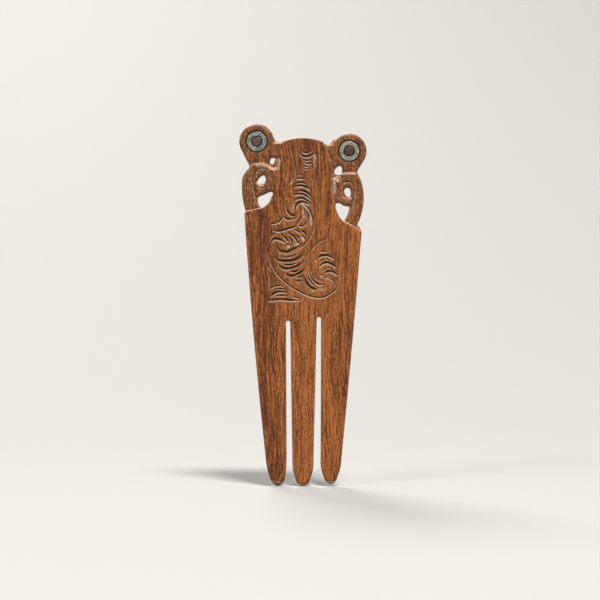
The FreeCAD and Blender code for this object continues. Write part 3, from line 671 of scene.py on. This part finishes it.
def carveComb():
    mesh, outline = cutBlank()
    voxel = comb["voxel"] * 1
    mesh = appliedModifier(mesh, "REMESH", {"mode": "VOXEL", "voxel_size": voxel * mm, "adaptivity": 0})
    refineFront(mesh)
    points = readPoints(mesh)
    print("comb blank remeshed:", len(points), "points")
    x, y, z = points[:, 0].copy(), points[:, 1].copy(), points[:, 2].copy()
    edge = edgeDistance(points, outline)
    front = comb["face"] + frontDepth(x, z, edge)[0]
    hollow = comb["backPlaning"] * (wander(x, z * 0.35, 5, 3.9) + 1)
    back = comb["back"] - rounded(edge, comb["backRound"]) - hollow
    through = np.clip((y - comb["face"]) / (comb["back"] - comb["face"]), 0, 1)
    y = front + (back - front) * through
    for side in ("left", "right"):
        sinkEye(side, x, y, z, through < 0.25)
    writePoints(mesh, np.stack([x, y, z], axis=1))
    triangles = sum(len(face.vertices) - 2 for face in mesh.polygons)
    if triangles > comb["triangles"]:
        mesh = appliedModifier(mesh, "DECIMATE", {"ratio": comb["triangles"] / triangles})
    markCuts(mesh, outline)
    print("comb carved:", len(mesh.polygons), "faces")
    return mesh


def markCuts(mesh, outline):
    # where shade is painted dark and where wear and highlights are painted pale, for the wood's finish to
    # read
    points = readPoints(mesh)
    x, y, z = points.T
    edge = edgeDistance(points, outline)
    depth, grime, bare = frontDepth(x, z, edge)
    frontSkin = 0.6
    onFront = y < comb["face"] + depth + frontSkin
    fromBack = np.clip(comb["back"] - y, 0, None)
    behind = wearAndPaintedLight["sawnEdge"] + wearAndPaintedLight["backEdge"] * np.exp(-fromBack / 0.5)
    behind = behind * np.exp(-edge / wearAndPaintedLight["rim"])
    for name, values in (("grime", np.where(onFront, grime, 0)), ("bare", np.where(onFront, bare, behind))):
        layer = mesh.attributes.new(name, "FLOAT", "POINT")
        layer.data.foreach_set("value", values.astype(np.float32))


# finishes

wood = {
    "dark": (0.05, 0.0125, 0.003),
    "mid": (0.148, 0.044, 0.0085),
    "light": (0.3, 0.1, 0.022),
    "pore": (0.024, 0.0075, 0.003),
    "grime": (0.007, 0.0035, 0.003),
    # pale worn wood, whose pinkish white also stands for painted highlights
    "bare": (0.54, 0.37, 0.275),
    "cut": (0.25, 0.12, 0.032),
    "tones": (0.405, 0.492, 0.584),   # where the dark, middle and light tones lie
    "roughness": 0.4,
    "shine": 0.22,
    "relief": 0.1,
    # the grain's parts: cells to a millimetre across, through and along the grain
    "bands": (0.26, 0.2, 0.012),
    "streaks": (2.1, 1.7, 0.045),
    "fibres": (3.2, 2.6, 0.18),
    "flecks": (2.1, 1.8, 0.7),
    "pores": (2.8, 2.3, 0.26),
    "openPores": (0.57, 0.69),
    "slowDrift": 14,                  # how far the grain wanders sideways
    "ripple": 2.4,
    # darker towards the left side, the right side and the crown
    "leftSide": (-21, 1),
    "rightSide": (6, 24),
    "crown": (112, 138),
}


def woodFinish():
    finish = Finish("oiledWood", {"Specular IOR Level": wood["shine"]})
    place = finish.millimetres()
    slow = finish.noise(finish.stretched(place, (0.03, 0.05, 0.012)))
    ripple = finish.noise(finish.stretched(place, (0.12, 0.12, 0.05)))
    x, y, z = [finish.add("ShaderNodeSeparateXYZ", {}, {0: place}, number) for number in range(3)]
    across = x + (slow - 0.5) * wood["slowDrift"] + (ripple - 0.5) * wood["ripple"]

    def grain(name, detail, roughness):
        width, depth, length = wood[name]
        along = finish.add("ShaderNodeCombineXYZ", {}, {0: across * width, 1: y * depth, 2: z * length})
        return finish.noise(along, detail, roughness)

    bands = grain("bands", 2, 0.5)
    streaks = grain("streaks", 2, 0.6)
    fibres = grain("fibres", 3, 0.76)
    flecks = grain("flecks", 2, 0.65)
    pores = finish.step(grain("pores", 2, 0.6), *wood["openPores"])
    growth = (bands * 46 + slow * 30 + across * 1.9).math("SINE")

    sideways = x * (1.35 - z * 0.0035)
    heart = finish.step(sideways, *wood["leftSide"]) - finish.step(sideways, *wood["rightSide"]) * 0.45
    heart = heart * (1 - finish.step(z, *wood["crown"]))
    tone = bands * 0.12 + streaks * 0.42 + fibres * 0.5 + flecks * 0.34 + growth * 0.02 + heart * 0.07 - 0.23
    colour = finish.ramp(tone, *zip(wood["tones"], (wood["dark"], wood["mid"], wood["light"])))
    colour = finish.mix(pores * 0.6, colour, wood["pore"])

    grime = finish.attribute("grime")
    bare = finish.attribute("bare")
    freshCut = finish.step(grime, 0.04, 0.3) * (flecks * 1.7 - 0.35)
    colour = finish.mix(freshCut * 0.6, colour, wood["cut"])
    # pale wood for real wear and painted highlights on lips, ledges, edges and the listed lines
    colour = finish.mix(bare * (0.2 + flecks * 0.5 + fibres * 0.55), colour, wood["bare"])
    # painted shade, darkening the cuts, the wood round them and the recessed head
    finish.feed("Base Color", finish.mix(grime * 0.97, colour, wood["grime"]))
    finish.feed("Roughness", (fibres - 0.5) * 0.35 + pores * 0.15 + grime * 0.2 + wood["roughness"])
    ridges = fibres * 0.5 + streaks * 0.3 + flecks * 0.4 + growth * 0.06
    finish.bump(ridges - pores * 0.6, 0.5, wood["relief"] * mm)
    return finish.material


resin = {
    "colour": (0.0035, 0.003, 0.0035),
    "dust": (0.014, 0.012, 0.01),
    "roughness": 0.24,
    "shine": 0.3,
    "mottle": (1.6, 1.6, 1.6),
    "specks": (6, 6, 6),
    "relief": 0.05,
}


def resinFinish():
    finish = Finish("blackResin", {"Specular IOR Level": resin["shine"]})
    place = finish.millimetres()
    mottle = finish.noise(finish.stretched(place, resin["mottle"]), 4, 0.6)
    specks = finish.noise(finish.stretched(place, resin["specks"]), 3, 0.6)
    dusty = finish.step(mottle, 0.5, 0.75)
    finish.feed("Base Color", finish.mix(dusty, resin["colour"], resin["dust"]))
    finish.feed("Roughness", dusty * 0.25 + specks * 0.1 + resin["roughness"])
    finish.bump(mottle * 0.6 + specks * 0.4, 0.4, resin["relief"] * mm)
    return finish.material


shell = {
    "teal": (0.055, 0.105, 0.115),
    "olive": (0.115, 0.125, 0.06),
    "cream": (0.2, 0.175, 0.125),
    "rose": (0.19, 0.145, 0.14),
    "shadow": (0.012, 0.016, 0.015),
    "gleam": (0.42, 0.45, 0.43),
    "roughness": 0.22,
    "shine": 0.5,
    "coat": 0.4,
    "coatRoughness": 0.08,
    "drift": (0.3, 0.3, 0.3),
    "layers": (0.75, 0.6, 1.1),
    "lines": (1.1, 0.8, 2.6),
    "relief": 0.06,
}


def shellFinish(name, turn, warmth):
    # turn: how the shell's layers lie in this ring; warmth: more cream and rose, or more teal
    finish = Finish(name, {"Coat Weight": shell["coat"], "Coat Roughness": shell["coatRoughness"],
                           "Specular IOR Level": shell["shine"]})
    place = finish.add("ShaderNodeMapping", {}, {"Vector": finish.millimetres(), "Rotation": (0, turn, 0)})
    drift = finish.noise(finish.stretched(place, shell["drift"]), 2, 0.5, 0.6)
    layers = finish.noise(finish.stretched(place, shell["layers"]), 4, 0.62, 1.2)
    lines = finish.noise(finish.stretched(place, shell["lines"]), 3, 0.6, 2)
    colour = finish.ramp(drift + warmth, (0.38, shell["teal"]), (0.48, shell["olive"]),
                         (0.56, shell["cream"]), (0.66, shell["rose"]))
    colour = finish.mix(finish.step(layers, 0.52, 0.3) * 0.85, colour, shell["shadow"])
    colour = finish.mix(finish.step(layers, 0.54, 0.74) * 0.8, colour, shell["gleam"])
    veins = finish.step(lines, 0.58, 0.68)
    finish.feed("Base Color", finish.mix(veins * 0.6, colour, shell["shadow"]))
    finish.feed("Roughness", lines * 0.25 + shell["roughness"])
    finish.feed("Metallic", layers * 0.3)
    finish.bump(layers * 0.6 - veins * 0.4, 0.35, shell["relief"] * mm)
    return finish.material


pupilWood = {
    "dark": (0.012, 0.005, 0.0045),
    "roughness": 0.32,
    "shine": 0.35,
    "mottle": (0.9, 0.4, 0.9),
    "specks": (4, 1.2, 4),
    "relief": 0.08,
}


def pupilFinish(name, light):
    finish = Finish(name, {"Specular IOR Level": pupilWood["shine"]})
    place = finish.millimetres()
    mottle = finish.noise(finish.stretched(place, pupilWood["mottle"]), 4, 0.65, 0.8)
    specks = finish.noise(finish.stretched(place, pupilWood["specks"]), 3, 0.6)
    openPores = finish.step(specks, 0.56, 0.66)
    colour = finish.ramp(mottle, (0.4, pupilWood["dark"]), (0.66, light))
    finish.feed("Base Color", finish.mix(openPores * 0.7, colour, pupilWood["dark"]))
    finish.feed("Roughness", mottle * 0.25 + openPores * 0.2 + pupilWood["roughness"])
    finish.bump(mottle * 0.6 - openPores * 0.6, 0.6, pupilWood["relief"] * mm)
    return finish.material


# the eyes: each piece is spun from its own section

eye = {
    "segments": 96,
    "resinBand": 0.4,      # resin that shows between the peg and the ring
    "meniscus": 0.12,      # how far the resin sinks away from the wood and the shell
    "innerSlope": 0.13,
    "outerSlope": 0.2,
    "shellGap": 0.12,
    "ringRound": 0.22,
    "ringCrown": 0.02,
    "dome": 0.3,
    "domeEdge": 0.25,
    "uneven": 0.04,
}

eyes = {
    # the left pupil's paler rose mottle is painted glint; the right pupil's dark brown is the peg's own wood
    "left": {"turn": 0.5, "warmth": -0.03, "pupil": (0.135, 0.058, 0.055), "seed": 0.4},
    "right": {"turn": -0.9, "warmth": 0.06, "pupil": (0.085, 0.036, 0.024), "seed": 2.2},
}


def spunPiece(name, section, centre, uneven, seed):
    # section: (radius, y) points in millimetres, closed; spun about the eye's own axis
    mesh = bpy.data.meshes.new(name)
    work = bmesh.new()
    corners = [work.verts.new((radius * mm, y * mm, 0)) for radius, y in section]
    for first, second in zip(corners, corners[1:] + corners[:1]):
        work.edges.new((first, second))
    bmesh.ops.spin(work, geom=work.verts[:] + work.edges[:], cent=(0, 0, 0), axis=(0, 1, 0),
                   angle=2 * math.pi, steps=eye["segments"], use_merge=True)
    bmesh.ops.remove_doubles(work, verts=work.verts, dist=0.001 * mm)
    bmesh.ops.recalc_face_normals(work, faces=work.faces[:])
    for point in work.verts:
        turn = math.atan2(point.co.z, point.co.x)
        wobble = math.sin(3 * turn + seed) + 0.6 * math.sin(5 * turn + 2.3 * seed)
        factor = 1 + uneven * wobble * mm / max(math.hypot(point.co.x, point.co.z), 0.5 * mm)
        point.co.x *= factor
        point.co.z *= factor
    bmesh.ops.translate(work, verts=work.verts[:], vec=(centre[0], 0, centre[1]))
    work.to_mesh(mesh)
    work.free()
    return mesh


def roundedSection(inner, outer, front, back, radius):
    # a band's section with its two front corners rounded
    angles = [math.pi / 2 * number / 4 for number in range(5)]
    corner = [(1 - math.cos(a), 1 - math.sin(a)) for a in angles]
    left = [(inner + radius * a, front + radius * b) for a, b in corner]
    right = [(outer - radius * a, front + radius * b) for a, b in reversed(corner)]
    crown = ((inner + outer) / 2, front - eye["ringCrown"])
    return [(inner, back)] + left + [crown] + right + [(outer, back)]


def makeEye(side, look, resinLook):
    bedLow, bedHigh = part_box(side + "_eye_bedding")
    ringLow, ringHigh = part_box(side + "_eye_ring")
    pupilLow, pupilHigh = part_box(side + "_eye_pupil")
    centre = ((bedLow.x + bedHigh.x) / 2, (bedLow.z + bedHigh.z) / 2)
    recess = (bedHigh.x - bedLow.x) / 2 / mm
    ringOuter = (ringHigh.x - ringLow.x) / 2 / mm
    peg = (pupilHigh.x - pupilLow.x) / 2 / mm
    ringInner = peg + eye["resinBand"]
    shellEdge = ringOuter - eye["shellGap"]
    ringFront, ringBack = ringLow.y / mm, ringHigh.y / mm
    seam, floor = bedLow.y / mm, bedHigh.y / mm
    sunk = seam + eye["meniscus"]
    inner, outer = eye["innerSlope"], eye["outerSlope"]

    bedding = [(peg, floor), (peg, seam), (peg + inner, sunk), (ringInner - inner, sunk), (ringInner, seam),
               (ringInner, ringBack), (shellEdge, ringBack), (shellEdge, seam), (shellEdge + outer, sunk),
               (recess - outer, sunk), (recess, seam), (recess, floor)]
    mesh = spunPiece(side + "Bedding", bedding, centre, 0, look["seed"])
    finishPiece(side + "_eye_resin", mesh, resinLook, "black_resin", side + "_eye_bedding")

    band = roundedSection(ringInner, shellEdge, ringFront, ringBack, eye["ringRound"])
    mesh = spunPiece(side + "Ring", band, centre, eye["uneven"], look["seed"])
    finish = shellFinish(side + "Shell", look["turn"], look["warmth"])
    finishPiece(side + "_eye_shell_ring", mesh, finish, "shell", side + "_eye_ring")

    front, back = pupilLow.y / mm, pupilHigh.y / mm
    dome = [(peg * math.sin(a), front + eye["dome"] * (1 - math.cos(a)) * 1.1)
            for a in (0, 0.2, 0.4, 0.6, 0.8, 1, 1.2)]
    section = dome + [(peg, front + eye["dome"] + eye["domeEdge"]), (peg, back), (0, back)]
    mesh = spunPiece(side + "Pupil", section, centre, eye["uneven"] * 0.5, look["seed"] + 1)
    finish = pupilFinish(side + "Pupil", look["pupil"])
    finishPiece(side + "_eye_pupil_peg", mesh, finish, "pupil_wood", side + "_eye_pupil")


finishPiece("carved_comb", carveComb(), woodFinish(), "carved_wood", "comb_body")
blackResin = resinFinish()
for side, look in eyes.items():
    makeEye(side, look, blackResin)
print("eyes inlaid")


# floor, light and camera

stage = {
    "floorRadius": 1.6,
    "floorFlat": 0.25,
    "floorColour": (0.3, 0.295, 0.285, 1),
    "floorRoughness": 0.9,
    "floorSteps": 96,
    "lens": 100,
    "sensor": 36,
    "viewWidth": 0.264,
    "viewAim": (-0.0013, 0.0823),
    "skyStrength": 0.05,
}

# softboxes: place, size, power and colour
softboxes = {
    "keySoftbox": ((0.3, -0.72, 1.75), (0.4, 0.35), 66, (1, 0.975, 0.95)),
    "leftSoftbox": ((-1, -0.9, 1.1), (0.5, 0.5), 9, (1, 0.98, 0.97)),
    "backSoftbox": ((-0.4, 1.05, 1.3), (0.6, 0.5), 24, (1, 0.98, 0.96)),
}


def makeFloor():
    mesh = bpy.data.meshes.new("paleFloor")
    work = bmesh.new()
    flat = stage["floorFlat"]
    bend = stage["floorRadius"] - flat
    steps = stage["floorSteps"]
    angles = [2 * math.pi * number / steps for number in range(1, steps // 4 + 1)]
    profile = [(0, 0), (flat, 0)]
    profile += [(flat + bend * math.sin(a), bend * (1 - math.cos(a))) for a in angles]
    corners = [work.verts.new((r, 0, z)) for r, z in profile]
    for first, second in zip(corners, corners[1:]):
        work.edges.new((first, second))
    bmesh.ops.spin(work, geom=work.verts[:] + work.edges[:], cent=(0, 0, 0), axis=(0, 0, 1),
                   angle=2 * math.pi, steps=steps, use_merge=True)
    bmesh.ops.remove_doubles(work, verts=work.verts, dist=0.01 * mm)
    bmesh.ops.recalc_face_normals(work, faces=work.faces[:])
    work.to_mesh(mesh)
    work.free()
    mesh.polygons.foreach_set("use_smooth", [True] * len(mesh.polygons))
    finish = Finish("paleFloor", {"Base Color": stage["floorColour"], "Roughness": stage["floorRoughness"]})
    mesh.materials.append(finish.material)
    floor = bpy.data.objects.new("floor", mesh)
    bpy.context.collection.objects.link(floor)


def makeLight(name, place, aim, size, power, colour):
    light = bpy.data.lights.new(name, "AREA")
    light.shape = "RECTANGLE"
    light.size, light.size_y = size
    light.energy = power
    light.color = colour
    lamp = bpy.data.objects.new(name, light)
    bpy.context.collection.objects.link(lamp)
    lamp.location = place
    lamp.rotation_euler = (Vector(aim) - Vector(place)).to_track_quat("-Z", "Y").to_euler()


def makeCamera():
    camera = bpy.data.cameras.new("camera")
    camera.lens = stage["lens"]
    camera.sensor_width = stage["sensor"]
    eyePoint = bpy.data.objects.new("camera", camera)
    bpy.context.collection.objects.link(eyePoint)
    away = stage["viewWidth"] * stage["lens"] / stage["sensor"]
    eyePoint.location = (stage["viewAim"][0], combLow.y - away, stage["viewAim"][1])
    eyePoint.rotation_euler = (math.pi / 2, 0, 0)
    bpy.context.scene.camera = eyePoint


def makeSky():
    world = bpy.data.worlds.new("studio")
    world.use_nodes = True
    sky = world.node_tree.nodes["Background"]
    sky.inputs[0].default_value = (1, 1, 1, 1)
    sky.inputs[1].default_value = stage["skyStrength"]
    bpy.context.scene.world = world


makeFloor()
middle = (0, 0, (combLow.z + combHigh.z) / 2)
for name, (place, size, power, colour) in softboxes.items():
    makeLight(name, place, middle, size, power, colour)
makeSky()
bpy.context.scene.view_settings.view_transform = "Standard"
makeCamera()
print("stage set")
